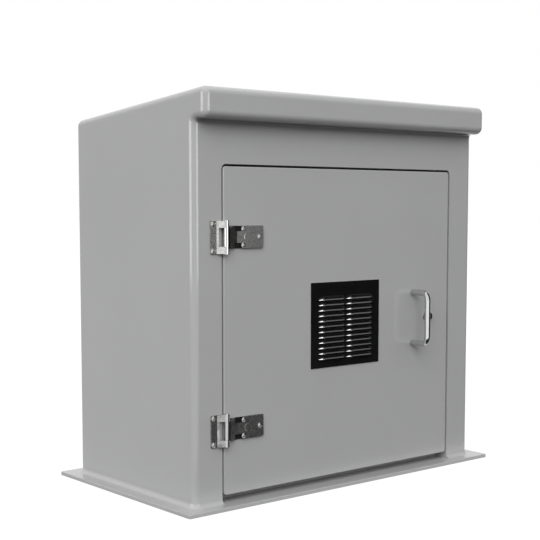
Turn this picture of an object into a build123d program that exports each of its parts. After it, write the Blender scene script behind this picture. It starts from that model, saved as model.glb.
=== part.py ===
from build123d import *
import math
import os

os.makedirs("parts", exist_ok=True)

# Frame: X runs along the front from the hinge side to the handle side, Y runs from the front to the back,
# Z is up. The origin is on the ground under the middle of the whole cabinet, handle included.

# Cabinet moulding, glass-reinforced plastic laid up in one piece
body_width = 830.0
body_depth = 442.0
wall = 5.0
roof_height = 850.0  # height of the roof line at the front of the visor
roof_slope = 5.2  # degrees of fall towards the back
visor_reach = 39.0  # how far the visor stands forward of the front wall
visor_height = 65.0  # from the roof line down to the visor's lower face
edge_round = 14.0  # radius along the side edges of the moulding
ridge_round = 15.0  # radius of the roof's front and back edges
visor_lip_round = 16.0  # radius of the visor's lower front edge
visor_root_round = 8.0  # hollow radius where the visor meets the front wall

# Ground flange, moulded with the body
flange_thickness = 8.0
flange_side = 35.0
flange_front = 32.0
flange_back = 30.0
flange_corner = 4.0
flange_edge_round = 1.5
foot_round = 10.0  # hollow radius between the walls and the flange

# Doorway and door
hinge_pillar = 71.2  # from the moulding's side to the doorway, on the hinge side
handle_pillar = 76.4  # the same on the handle side
lintel_height = 85.3  # from the doorway up to the visor's lower face
door_bottom = 23.7  # height of the door's lower edge above the ground
door_gap = 4.5  # shadow gap round the door
door_corner = 7.0
door_skin = 5.0
door_depth = 28.0  # depth of the door's returned edges
door_edge_round = 2.0
opening_break = 1.5  # bevel round the mouth of the doorway
land_width = 30.0  # sealing land round the inside of the doorway
land_thickness = 5.0
rib_width = 44.0  # top-hat stiffener moulded across the inside of the door
rib_depth = 17.0
rib_flank = 9.0  # how far each side of a stiffener leans in

# Door seal, a soft D section stuck to the land
seal_width = 12.0
seal_height = 8.0
seal_round = 4.5
seal_clearance = 0.4  # between the closed door and the seal

# Hinges, one pattern used twice
upper_hinge_share = 0.2118  # from the door's top to the upper hinge, as a share of the door's height
lower_hinge_share = 0.2030  # from the door's bottom to the lower hinge
hinge_axis_proud = 8.0  # how far the pin stands in front of the door face
hinge_axis_inset = 1.5  # how far the pin stands inside the door's edge
knuckle_radius = 5.75
pin_radius = 3.0
pin_fixed_clearance = 0.02
pin_running_clearance = 0.06
pin_head_radius = 4.4
pin_head_height = 1.6
pin_head_round = 0.95
leaf_thickness = 3.0
frame_leaf_height = 66.5
frame_leaf_reach = 36.0  # from the pin to the leaf's outer edge
frame_leaf_flat = 15.0  # width of the part that lies on the front wall
frame_window_reach = 17.0  # how far the window is cut back from the pin
middle_knuckle = 37.4
knuckle_gap = 0.4
frame_screw_reach = 30.0
frame_screw_spread = 27.2
door_leaf_height = 45.5
door_leaf_reach = 98.8
door_leaf_ramp = 30.0  # where the leaf leaves the packer and climbs to the knuckle
door_leaf_shoulder_start = 8.0
door_leaf_shoulder_end = 14.0
packer_thickness = 2.0
notch_start = 21.1  # adjustment notch, measured from the pin
notch_end = 42.3
notch_depth = 11.0
door_screw_reach = 46.0
door_screw_spread = 16.6
end_screw_reach = 88.8
emboss_start = 48.0
emboss_end = 80.0
emboss_width = 17.0
emboss_rise = 1.0
leaf_corner = 2.0

# Screws, washers and nuts
hinge_screw_radius = 3.0
screw_hole_clearance = 0.3
button_head_radius = 5.6
button_head_height = 3.4
button_crown_radius = 2.5  # flat middle of the domed head
button_rim_height = 0.8
button_socket_across = 4.0
button_socket_depth = 2.0
washer_radius = 6.3
washer_thickness = 1.2
nut_across = 10.0
nut_height = 6.0
screw_past_nut = 1.5
thread_clearance = 0.05

# Louvred vent in the door
vent_width = 205.4
vent_height = 186.7
vent_offset = 2.6  # from the door's middle towards the handle
fittings_drop = 2.1  # vent, handle and lock sit this far below the door's middle
vent_thickness = 1.5
vent_corner = 1.5
louvre_rows = 12
louvre_pitch = 11.76
louvre_length = 81.0
louvre_column_pitch = 83.0
louvre_rise = 8.0  # radius of the pressed hood, up and out from the plate
louvre_taper = 16.0  # length of each tapered end
louvre_sheet = 1.1
first_lip_height = 18.4  # from the plate's lower edge to the lowest lip
vent_cutout_margin = 4.0  # from the louvre field to the edge of the hole in the door
vent_cutout_corner = 2.0
stud_radius = 2.0
stud_inset_x = 7.2
stud_inset_z = 7.0
stud_past_nut = 1.0
stud_nut_across = 7.0
stud_nut_height = 3.2
screen_thickness = 1.0
screen_margin = 2.0  # from the vent plate's outline to the insect screen's
screen_columns = 12
screen_rows = 8
screen_bar = 3.0

# Pull handle, one bent rod
handle_from_edge = 119.9  # from the door's free edge
handle_length = 117.9  # between the middles of the two arms
handle_radius = 6.75
handle_stand_off = 47.7  # from the door face to the middle of the bar
handle_bend = 16.0
handle_screw_radius = 3.0
handle_screw_depth = 14.0
handle_hole_spare = 2.0  # depth of the tapped hole past the screw's end
handle_washer_radius = 10.0
handle_washer_thickness = 1.6
handle_screw_head_radius = 5.8
handle_screw_head_height = 3.6
handle_screw_head_round = 1.6

# Quarter-turn lock
lock_from_edge = 69.1  # from the door's free edge
lock_head_radius = 13.0
lock_head_height = 9.0
lock_face_radius = 9.0  # flat ring round the key recess
lock_face_round = 2.5
lock_rim_height = 2.5
lock_rim_bevel = 1.0
lock_barrel_radius = 9.9
lock_hole_clearance = 0.3
lock_barrel_length = 30.0
lock_recess_radius = 6.5
lock_recess_depth = 8.0
lock_bore_radius = 5.0
lock_running_clearance = 0.06
plug_head_height = 2.0
plug_floor_clearance = 0.05
key_triangle_height = 8.0  # height of the triangular key post's section
key_post_length = 4.5
lock_nut_across = 26.0
lock_nut_height = 5.0
plug_square = 7.0
cam_thickness = 3.0
cam_width = 16.0
cam_length = 55.0
cam_hub = 14.0  # length of the flat round the plug
cam_ramp_end = 30.0
cam_step = 1.0  # the inner side of each bend sits this much further along the tongue
cam_land_clearance = 0.6
cam_hub_clearance = 0.3
cam_square_clearance = 0.05
cam_screw_radius = 2.4
cam_screw_depth = 8.0
cam_screw_head_radius = 5.2
cam_screw_head_height = 3.0
cam_screw_head_round = 1.2

# Equipment board on the back wall
board_side_space = 90.0  # from each side wall to the board
board_below_roof = 160.0  # from the roof line to the board's upper edge
board_thickness = 12.0
board_bottom = 90.0
board_inset = 40.0  # from the board's edge to its fixings
spacer_radius = 11.0
spacer_length = 25.0
board_stud_radius = 4.0
board_stud_plate_radius = 20.0  # round head of each stud, bonded under the spacer
board_stud_plate = 2.5
board_washer_radius = 12.0
board_washer_thickness = 2.0
board_nut_across = 13.0
board_nut_height = 8.0
board_hole_clearance = 0.4

# Cuts run past the faces that they open by this much
past = 1.0

# Worked out from the sizes above
handle_reach = handle_stand_off + handle_radius
overall_depth = handle_reach + body_depth + flange_back
face_y = -overall_depth / 2 + handle_reach
back_y = face_y + body_depth
visor_y = face_y - visor_reach
roof_fall = math.tan(math.radians(roof_slope))

visor_underside = roof_height - visor_height
opening_left = -body_width / 2 + hinge_pillar
opening_right = body_width / 2 - handle_pillar
opening_top = visor_underside - lintel_height
door_left = opening_left + door_gap
door_right = opening_right - door_gap
door_top = opening_top - door_gap
door_height = door_top - door_bottom
seal_face = face_y + door_depth + seal_clearance
land_y = seal_face + seal_height
land_back = land_y + land_thickness
sill_top = door_bottom + land_width - door_gap

hinge_x = door_left + hinge_axis_inset
hinge_y = face_y - hinge_axis_proud
hinge_height_upper = door_top - upper_hinge_share * door_height
hinge_height_lower = door_bottom + lower_hinge_share * door_height
nut_reach = door_screw_spread + washer_radius  # from a hinge's middle to the edge of its washers

fittings_z = door_bottom + door_height / 2 - fittings_drop
vent_centre_x = (door_left + door_right) / 2 + vent_offset
vent_bottom = fittings_z - vent_height / 2
vent_top = fittings_z + vent_height / 2
field_width = louvre_column_pitch + louvre_length
lowest_lip = vent_bottom + first_lip_height
highest_lip = lowest_lip + (louvre_rows - 1) * louvre_pitch
cutout_width = field_width + 2 * vent_cutout_margin
cutout_bottom = lowest_lip - vent_cutout_margin
cutout_top = highest_lip + louvre_rise + vent_cutout_margin
stud_spread_x = vent_width / 2 - stud_inset_x
stud_spread_z = vent_height / 2 - stud_inset_z
rib_high = (vent_top + hinge_height_upper - nut_reach) / 2
rib_low = (vent_bottom + hinge_height_lower + nut_reach) / 2

handle_x = door_right - handle_from_edge
handle_top = fittings_z + handle_length / 2
handle_bottom = fittings_z - handle_length / 2
lock_x = door_right - lock_from_edge
board_width = body_width - 2 * (wall + board_side_space)
board_top = roof_height - board_below_roof


def save(name, shape):
    export_step(shape, f"parts/{name}.step")


def block(x0, x1, y0, y1, z0, z1):
    """A cut or pad between two corners."""
    size = (x1 - x0, y1 - y0, z1 - z0)
    return Pos((x0 + x1) / 2, (y0 + y1) / 2, (z0 + z1) / 2) * Box(*size)


def rod_y(radius, x, z, y0, y1):
    """A round bar along Y."""
    return Pos(x, (y0 + y1) / 2, z) * Rot(90, 0, 0) * Cylinder(radius, y1 - y0)


def rounded_slab(x0, x1, z0, z1, y0, y1, radius):
    """A plate in the XZ plane with rounded corners."""
    outline = RectangleRounded(x1 - x0, z1 - z0, radius)
    plane = Plane(origin=((x0 + x1) / 2, y1, (z0 + z1) / 2), x_dir=(1, 0, 0), z_dir=(0, -1, 0))
    return extrude(plane * outline, y1 - y0)


def hex_y(across, x, z, y0, y1):
    """A hexagonal bar along Y."""
    outline = RegularPolygon(across / 2, 6, major_radius=False)
    plane = Plane(origin=(x, y1, z), x_dir=(1, 0, 0), z_dir=(0, -1, 0))
    return extrude(plane * outline, y1 - y0)


def group(solids):
    """Separate solids kept together in one file."""
    return Compound(children=[part.solid() for part in solids])


def cabinet_form(inset, floor):
    """The body's outer form, or the same form drawn in by a wall, standing on a floor height."""
    front = face_y + inset
    nose = visor_y + inset
    back = back_y - inset
    under = visor_underside + inset
    drop = inset / math.cos(math.radians(roof_slope))
    nose_top = roof_height - drop - inset * roof_fall
    back_top = nose_top - (back - nose) * roof_fall
    with BuildSketch(Plane.YZ) as side:
        with BuildLine():
            Polyline(
                (front, floor),
                (front, under),
                (nose, under),
                (nose, nose_top),
                (back, back_top),
                (back, floor),
                close=True,
            )
        make_face()
        rounds = [
            ((front, under), visor_root_round + inset),
            ((nose, under), visor_lip_round - inset),
            ((nose, nose_top), ridge_round - inset),
            ((back, back_top), ridge_round - inset),
        ]
        for corner, radius in rounds:
            fillet(side.vertices().sort_by_distance(corner)[0], radius)
    half = body_width / 2 - inset
    form = extrude(side.sketch, half, both=True)
    ends = form.edges().group_by(Axis.X)
    chains = ends[0] + ends[-1]
    chains = chains.filter_by(lambda edge: edge.center().Z > floor + past)
    return fillet(chains, edge_round - inset)


def doorway_outline(spread):
    """Outline of the doorway's mouth in the front plane, down to the flange."""
    width = opening_right - opening_left + 2 * spread
    corner = door_corner + door_gap + spread
    height = opening_top + spread + corner
    with BuildSketch() as outline:
        with Locations((0, height / 2 - corner)):
            RectangleRounded(width, height, corner)
        with Locations((0, flange_thickness / 2 - corner)):
            Rectangle(2 * width, flange_thickness + 2 * corner, mode=Mode.SUBTRACT)
    return outline.sketch


def body_shell():
    """Roof, visor, walls, flange and door frame in one moulding, open underneath."""
    form = cabinet_form(0, 0)
    length = body_depth + flange_front + flange_back
    middle = (face_y - flange_front + back_y + flange_back) / 2
    plate = Pos(0, middle, flange_thickness / 2) * Box(
        body_width + 2 * flange_side, length, flange_thickness
    )
    plate = fillet(plate.edges().filter_by(Axis.Z), flange_corner)
    plate = fillet(plate.edges().group_by(Axis.Z)[-1], flange_edge_round)
    shell = form + plate
    foot = shell.edges().filter_by(
        lambda edge: abs(edge.center().Z - flange_thickness) < 0.01
        and abs(edge.center().X) < body_width / 2 + 0.1
        and face_y - 0.1 < edge.center().Y < back_y + 0.1
    )
    shell = fillet(foot, foot_round)
    shell -= cabinet_form(wall, -past)
    frame = block(
        opening_left - wall, opening_right + wall, face_y + past, land_back, 0, opening_top + wall
    )
    shell += frame
    centre_x = (opening_left + opening_right) / 2
    mouth = Plane(origin=(centre_x, land_y, 0), x_dir=(1, 0, 0), z_dir=(0, -1, 0))
    shell -= extrude(mouth * doorway_outline(0), land_y - face_y + visor_reach)
    bevel = Plane(origin=(centre_x, face_y - opening_break, 0), x_dir=(1, 0, 0), z_dir=(0, 1, 0))
    flare = extrude(bevel * mirrored(doorway_outline(2 * opening_break)), 2 * opening_break, taper=45)
    shell -= flare
    aperture = rounded_slab(
        opening_left + land_width,
        opening_right - land_width,
        sill_top,
        opening_top - land_width,
        land_y - past,
        land_back + past,
        door_corner + door_gap,
    )
    shell -= aperture
    for height in (hinge_height_upper, hinge_height_lower):
        for x, z in frame_screw_places(height):
            hole = hinge_screw_radius + screw_hole_clearance
            shell -= rod_y(hole, x, z, face_y - past, face_y + wall + past)
    return shell


def mirrored(outline):
    """The same outline for a plane that looks the other way."""
    return mirror(outline, Plane.YZ)


def frame_screw_places(height):
    """Two screws hold each hinge to the front wall."""
    x = hinge_x - frame_screw_reach
    return [(x, height - frame_screw_spread), (x, height + frame_screw_spread)]


def door_screw_places(height):
    """Two screws in the notches and one at the end of the leaf."""
    x = hinge_x + door_screw_reach
    return [
        (x, height - door_screw_spread),
        (x, height + door_screw_spread),
        (hinge_x + end_screw_reach, height),
    ]


def stud_places():
    """Places of the four studs behind the vent plate."""
    return [
        (vent_centre_x + sx * stud_spread_x, fittings_z + sz * stud_spread_z)
        for sx in (-1, 1)
        for sz in (-1, 1)
    ]


def rib(middle_z):
    """A hollow top-hat stiffener across the inside of the door."""
    left = door_left + door_skin
    right = door_right - door_skin
    base = face_y + door_skin
    with BuildSketch(Plane(origin=(left, base, middle_z), x_dir=(0, 1, 0), z_dir=(1, 0, 0))) as hat:
        with BuildLine():
            Polyline(
                (-past, -rib_width / 2),
                (0, -rib_width / 2),
                (rib_depth, -rib_width / 2 + rib_flank),
                (rib_depth, rib_width / 2 - rib_flank),
                (0, rib_width / 2),
                (-past, rib_width / 2),
                close=True,
            )
        make_face()
    return extrude(hat.sketch, right - left)


def door_panel():
    """The door's outer skin with returned edges, stiffeners and every hole it needs."""
    panel = rounded_slab(
        door_left, door_right, door_bottom, door_top, face_y, face_y + door_depth, door_corner
    )
    panel = fillet(panel.edges().group_by(Axis.Y)[0], door_edge_round)
    panel -= rounded_slab(
        door_left + door_skin,
        door_right - door_skin,
        door_bottom + door_skin,
        door_top - door_skin,
        face_y + door_skin,
        face_y + door_depth + past,
        door_corner - door_skin,
    )
    for middle_z in (rib_low, rib_high):
        panel += rib(middle_z)
    inner = face_y + door_skin + past
    panel -= rounded_slab(
        vent_centre_x - cutout_width / 2,
        vent_centre_x + cutout_width / 2,
        cutout_bottom,
        cutout_top,
        face_y - past,
        inner,
        vent_cutout_corner,
    )
    for x, z in stud_places():
        panel -= rod_y(stud_radius + screw_hole_clearance, x, z, face_y - past, inner)
    for height in (hinge_height_upper, hinge_height_lower):
        for x, z in door_screw_places(height):
            panel -= rod_y(hinge_screw_radius + screw_hole_clearance, x, z, face_y - past, inner)
    for z in (handle_bottom, handle_top):
        panel -= rod_y(handle_screw_radius + screw_hole_clearance, handle_x, z, face_y - past, inner)
    panel -= rod_y(lock_barrel_radius + lock_hole_clearance, lock_x, fittings_z, face_y - past, inner)
    return panel


def door_seal():
    """A soft D section that the door's returned edges close on."""
    grow = (seal_width - door_skin) / 2
    outer = rounded_slab(
        door_left - grow,
        door_right + grow,
        door_bottom - grow,
        door_top + grow,
        seal_face,
        land_y,
        door_corner + grow,
    )
    shrink = seal_width - grow
    inner = rounded_slab(
        door_left + shrink,
        door_right - shrink,
        door_bottom + shrink,
        door_top - shrink,
        seal_face - past,
        land_y + past,
        seal_round,
    )
    ring = outer - inner
    return fillet(ring.edges().group_by(Axis.Y)[0], seal_round)


def tangent_on_knuckle(x, y):
    """Where a line from a point in plan touches the front of the knuckle."""
    distance = math.hypot(x, y)
    towards = math.atan2(y, x)
    swing = math.acos(knuckle_radius / distance)
    angles = [towards + swing, towards - swing]
    touches = [(knuckle_radius * math.cos(a), knuckle_radius * math.sin(a)) for a in angles]
    return min(touches, key=lambda point: point[1])


def leaf_section(edge_x, ramp_x, base_y):
    """Plan section of a leaf: a flat, a ramp that touches the knuckle, and the knuckle itself."""
    top_y = base_y - leaf_thickness
    touch = tangent_on_knuckle(ramp_x, top_y)
    shrink = 1 - leaf_thickness / knuckle_radius
    inside = (touch[0] * shrink, touch[1] * shrink)
    slope = (touch[1] - top_y) / (touch[0] - ramp_x)
    heel_x = inside[0] + (base_y - inside[1]) / slope
    with BuildSketch() as section:
        with BuildLine():
            Polyline(
                (edge_x, base_y),
                (edge_x, top_y),
                (ramp_x, top_y),
                touch,
                inside,
                (heel_x, base_y),
                close=True,
            )
        make_face()
        Circle(knuckle_radius)
    return section.sketch


def at_hinge(height, shape):
    """Move a piece drawn round the pin to its hinge."""
    return Pos(hinge_x, hinge_y, height) * shape


def hinge_frame_leaf(height):
    """Leaf on the front wall: two arms that carry the outer knuckles."""
    section = leaf_section(-frame_leaf_reach, -frame_leaf_reach + frame_leaf_flat, hinge_axis_proud)
    leaf = extrude(section, frame_leaf_height / 2, both=True)
    outer = leaf.edges().filter_by(Axis.Y).group_by(Axis.X)[0]
    leaf = fillet(outer, leaf_corner)
    half_window = middle_knuckle / 2 + knuckle_gap
    leaf -= block(
        -frame_window_reach,
        knuckle_radius + past,
        -knuckle_radius - past,
        hinge_axis_proud + past,
        -half_window,
        half_window,
    )
    leaf -= Cylinder(pin_radius + pin_fixed_clearance, frame_leaf_height + 2 * past)
    for z in (-frame_screw_spread, frame_screw_spread):
        hole = hinge_screw_radius + screw_hole_clearance
        leaf -= rod_y(hole, -frame_screw_reach, z, 0, hinge_axis_proud + past)
    return at_hinge(height, leaf)


def door_leaf_outline():
    """Front view of the door leaf: shoulder at the knuckle, notches in both long edges."""
    half = door_leaf_height / 2
    half_knuckle = middle_knuckle / 2
    with BuildSketch() as outline:
        with BuildLine():
            Polyline(
                (-knuckle_radius - past, -half_knuckle),
                (door_leaf_shoulder_start, -half_knuckle),
                (door_leaf_shoulder_end, -half),
                (door_leaf_reach, -half),
                (door_leaf_reach, half),
                (door_leaf_shoulder_end, half),
                (door_leaf_shoulder_start, half_knuckle),
                (-knuckle_radius - past, half_knuckle),
                close=True,
            )
        make_face()
        fillet(outline.vertices().group_by(Axis.X)[-1], leaf_corner)
        notch_middle = (notch_start + notch_end) / 2
        slot_width = 2 * (hinge_screw_radius + screw_hole_clearance)
        for side in (-1, 1):
            with Locations((notch_middle, side * (half - notch_depth / 2 + past))):
                Rectangle(notch_end - notch_start, notch_depth + 2 * past, mode=Mode.SUBTRACT)
            slot_start = (notch_middle, side * door_screw_spread)
            slot_end = (door_screw_reach, side * door_screw_spread)
            with Locations(((slot_start[0] + slot_end[0]) / 2, slot_start[1])):
                SlotCenterToCenter(slot_end[0] - slot_start[0], slot_width, mode=Mode.SUBTRACT)
        with Locations((end_screw_reach, 0)):
            Circle(slot_width / 2, mode=Mode.SUBTRACT)
    return outline.sketch


def hinge_door_leaf(height):
    """Leaf on the door: rolled middle knuckle, ramp, notched flat with a pressed rib."""
    base = hinge_axis_proud - packer_thickness
    section = leaf_section(door_leaf_reach, door_leaf_ramp, base)
    leaf = extrude(section, door_leaf_height / 2, both=True)
    front = Plane(origin=(0, base + past, 0), x_dir=(1, 0, 0), z_dir=(0, -1, 0))
    leaf &= extrude(front * door_leaf_outline(), base + knuckle_radius + 2 * past)
    leaf -= Cylinder(pin_radius + pin_running_clearance, door_leaf_height + 2 * past)
    top = base - leaf_thickness
    rise = Plane(origin=((emboss_start + emboss_end) / 2, top, 0), x_dir=(1, 0, 0), z_dir=(0, -1, 0))
    length = emboss_end - emboss_start
    leaf += extrude(rise * SlotOverall(length, emboss_width), emboss_rise, taper=45)
    return at_hinge(height, leaf)


def hinge_packer(height):
    """Black pad between the door leaf and the moulding."""
    base = hinge_axis_proud
    pad = rounded_slab(
        door_leaf_shoulder_end,
        door_leaf_reach,
        -door_leaf_height / 2,
        door_leaf_height / 2,
        base - packer_thickness,
        base,
        leaf_corner,
    )
    hole = hinge_screw_radius + screw_hole_clearance
    for z in (-door_screw_spread, door_screw_spread):
        pad -= rod_y(hole, door_screw_reach, z, 0, base + past)
    pad -= rod_y(hole, end_screw_reach, 0, 0, base + past)
    return at_hinge(height, pad)


def hinge_pin(height):
    """Headed pin through the three knuckles."""
    half = frame_leaf_height / 2
    pin = Cylinder(pin_radius, frame_leaf_height + pin_head_height)
    pin = Pos(0, 0, -pin_head_height / 2) * pin
    head = Pos(0, 0, half + pin_head_height / 2) * Cylinder(pin_head_radius, pin_head_height)
    head = fillet(head.edges().group_by(Axis.Z)[-1], pin_head_round)
    tail = Pos(0, 0, -half - pin_head_height / 2) * Cylinder(pin_head_radius, pin_head_height)
    tail = fillet(tail.edges().group_by(Axis.Z)[0], pin_head_round)
    return at_hinge(height, pin + head + tail)


def button_screw(x, z, seat_y, end_y):
    """Domed screw whose head sits on a face and points towards the front."""
    with BuildSketch(Plane.XY) as half:
        with BuildLine():
            Line((0, 0), (0, button_head_height))
            Line((0, button_head_height), (button_crown_radius, button_head_height))
            RadiusArc(
                (button_crown_radius, button_head_height),
                (button_head_radius, button_rim_height),
                button_head_radius,
            )
            Line((button_head_radius, button_rim_height), (button_head_radius, 0))
            Line((button_head_radius, 0), (0, 0))
        make_face()
    head = revolve(half.sketch, Axis.Y)
    socket = Plane(origin=(0, button_head_height, 0), x_dir=(1, 0, 0), z_dir=(0, -1, 0))
    drive = RegularPolygon(button_socket_across / 2, 6, major_radius=False)
    head -= extrude(socket * drive, button_socket_depth)
    head = Pos(x, seat_y, z) * Rot(180, 0, 0) * head
    return head + rod_y(hinge_screw_radius, x, z, seat_y, end_y)


def nut_and_washer(x, z, base_y):
    """Washer and lock nut against an inside face, as one tightened set each."""
    bore = hinge_screw_radius + thread_clearance
    washer = rod_y(washer_radius, x, z, base_y, base_y + washer_thickness)
    washer -= rod_y(bore, x, z, base_y - past, base_y + washer_thickness + past)
    start = base_y + washer_thickness
    nut = hex_y(nut_across, x, z, start, start + nut_height)
    nut -= rod_y(bore, x, z, start - past, start + nut_height + past)
    return washer + nut


def hinge_hardware(height):
    """Screws and nuts of one hinge, for the front wall and for the door."""
    stack = washer_thickness + nut_height + screw_past_nut
    frame_seat = face_y - leaf_thickness
    door_seat = face_y - packer_thickness - leaf_thickness
    frame_places = frame_screw_places(height)
    door_places = door_screw_places(height)
    frame_screws = [button_screw(x, z, frame_seat, face_y + wall + stack) for x, z in frame_places]
    frame_nuts = [nut_and_washer(x, z, face_y + wall) for x, z in frame_places]
    door_screws = [button_screw(x, z, door_seat, face_y + door_skin + stack) for x, z in door_places]
    door_nuts = [nut_and_washer(x, z, face_y + door_skin) for x, z in door_places]
    return frame_screws, frame_nuts, door_screws, door_nuts


def hood_section(radius, half_length, taper):
    """Half outline of a pressed hood, straight in the middle and drawn down at both ends."""
    bulge = (taper**2 + radius**2) / (2 * radius)
    flat = half_length - taper
    with BuildSketch(Plane.XZ) as outline:
        with BuildLine():
            Line((-half_length, 0), (half_length, 0))
            RadiusArc((half_length, 0), (flat, radius), -bulge)
            Line((flat, radius), (-flat, radius))
            RadiusArc((-flat, radius), (-half_length, 0), -bulge)
        make_face()
    return outline.sketch


def louvre_hood():
    """One hood, open along its lower lip, and the slot that it covers."""
    outer = hood_section(louvre_rise, louvre_length / 2, louvre_taper)
    inner = hood_section(
        louvre_rise - louvre_sheet, louvre_length / 2 - 2 * louvre_sheet, louvre_taper - louvre_sheet
    )
    skin = revolve(outer, Axis.X, 90)
    hollow = revolve(inner, Axis.X, 90)
    return skin, hollow


def vent_louvre_plate():
    """Pressed vent plate: two columns of hoods over slots."""
    outer_y = face_y - vent_thickness
    plate = rounded_slab(
        vent_centre_x - vent_width / 2,
        vent_centre_x + vent_width / 2,
        vent_bottom,
        vent_top,
        outer_y,
        face_y,
        vent_corner,
    )
    skin, hollow = louvre_hood()
    slot_height = louvre_rise - louvre_sheet
    slot_half = louvre_length / 2 - 2 * louvre_sheet
    slot_outline = hood_section(slot_height, slot_half, louvre_taper - louvre_sheet)
    slot = Pos(0, vent_thickness, 0) * extrude(slot_outline, vent_thickness * 2)
    places = []
    for column in (-0.5, 0.5):
        x = vent_centre_x + column * louvre_column_pitch
        for row in range(louvre_rows):
            places.append((x, lowest_lip + row * louvre_pitch))
    hoods = [Pos(x, outer_y, z) * (skin - hollow) for x, z in places]
    slots = [Pos(x, outer_y, z) * slot for x, z in places]
    plate -= slots
    plate += hoods
    return plate


def vent_studs():
    """Plain studs welded to the back of the vent plate."""
    stack = door_skin + screen_thickness + stud_nut_height + stud_past_nut
    return group([rod_y(stud_radius, x, z, face_y, face_y + stack) for x, z in stud_places()])


def vent_screen():
    """Perforated insect screen behind the hole in the door."""
    y0 = face_y + door_skin
    screen = rounded_slab(
        vent_centre_x - vent_width / 2 + screen_margin,
        vent_centre_x + vent_width / 2 - screen_margin,
        vent_bottom + screen_margin,
        vent_top - screen_margin,
        y0,
        y0 + screen_thickness,
        vent_corner,
    )
    cell_x = (cutout_width - 2 * screen_bar) / screen_columns
    cell_z = (cutout_top - cutout_bottom - 2 * screen_bar) / screen_rows
    middle_z = (cutout_bottom + cutout_top) / 2
    holes = []
    for column in range(screen_columns):
        for row in range(screen_rows):
            x = vent_centre_x + (column - (screen_columns - 1) / 2) * cell_x
            z = middle_z + (row - (screen_rows - 1) / 2) * cell_z
            half_x = (cell_x - screen_bar) / 2
            half_z = (cell_z - screen_bar) / 2
            holes.append(block(x - half_x, x + half_x, y0 - past, y0 + 2 * past, z - half_z, z + half_z))
    screen -= holes
    for x, z in stud_places():
        screen -= rod_y(stud_radius + screw_hole_clearance, x, z, y0 - past, y0 + 2 * past)
    return screen


def vent_nuts():
    """Nuts that clamp the screen and the vent plate to the door."""
    y0 = face_y + door_skin + screen_thickness
    nuts = []
    for x, z in stud_places():
        nut = hex_y(stud_nut_across, x, z, y0, y0 + stud_nut_height)
        bore = rod_y(stud_radius + thread_clearance, x, z, y0 - past, y0 + stud_nut_height + past)
        nuts.append(nut - bore)
    return group(nuts)


def pull_handle():
    """One round rod bent twice, tapped at both ends."""
    bar_y = face_y - handle_stand_off
    with BuildLine() as path:
        FilletPolyline(
            (handle_x, face_y, handle_bottom),
            (handle_x, bar_y, handle_bottom),
            (handle_x, bar_y, handle_top),
            (handle_x, face_y, handle_top),
            radius=handle_bend,
        )
    with BuildSketch(Plane(origin=(handle_x, face_y, handle_bottom), z_dir=(0, -1, 0))) as section:
        Circle(handle_radius)
    handle = sweep(section.sketch, path.line)
    depth = handle_screw_depth + handle_hole_spare
    for z in (handle_bottom, handle_top):
        handle -= rod_y(handle_screw_radius + thread_clearance, handle_x, z, face_y - depth, face_y + past)
    return handle


def handle_fixings():
    """Screws and washers inside the door that hold the handle."""
    inside = face_y + door_skin
    under_head = inside + handle_washer_thickness
    screws = []
    washers = []
    for z in (handle_bottom, handle_top):
        washer = rod_y(handle_washer_radius, handle_x, z, inside, under_head)
        bore = handle_screw_radius + thread_clearance
        washers.append(washer - rod_y(bore, handle_x, z, inside - past, under_head + past))
        shank = rod_y(handle_screw_radius, handle_x, z, face_y - handle_screw_depth, under_head)
        top = under_head + handle_screw_head_height
        head = rod_y(handle_screw_head_radius, handle_x, z, under_head, top)
        head = fillet(head.edges().group_by(Axis.Y)[-1], handle_screw_head_round)
        screws.append(shank + head)
    return group(screws), group(washers)


def lock_housing():
    """Domed head and threaded barrel, bored for the plug."""
    recess_floor = face_y - lock_head_height + lock_recess_depth
    shoulder = lock_head_radius - lock_rim_bevel
    with BuildSketch(Plane.XY) as half:
        with BuildLine():
            Line((0, 0), (0, lock_head_height))
            Line((0, lock_head_height), (lock_face_radius, lock_head_height))
            Line((lock_face_radius, lock_head_height), (shoulder, lock_rim_height))
            Line((shoulder, lock_rim_height), (lock_head_radius, 0))
            Line((lock_head_radius, 0), (0, 0))
        make_face()
    head = revolve(half.sketch, Axis.Y)
    head = fillet(head.edges().filter_by(GeomType.CIRCLE).group_by(Axis.Y)[-1], lock_face_round)
    head = Pos(lock_x, face_y, fittings_z) * Rot(180, 0, 0) * head
    body = head + rod_y(lock_barrel_radius, lock_x, fittings_z, face_y, face_y + lock_barrel_length)
    body -= rod_y(lock_recess_radius, lock_x, fittings_z, face_y - lock_head_height - past, recess_floor)
    bore = lock_bore_radius + lock_running_clearance
    body -= rod_y(bore, lock_x, fittings_z, recess_floor - past, face_y + lock_barrel_length + past)
    return body


def lock_nut():
    """Flat hexagonal nut that clamps the lock to the door skin."""
    y0 = face_y + door_skin
    nut = hex_y(lock_nut_across, lock_x, fittings_z, y0, y0 + lock_nut_height)
    bore = lock_barrel_radius + thread_clearance
    return nut - rod_y(bore, lock_x, fittings_z, y0 - past, y0 + lock_nut_height + past)


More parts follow.
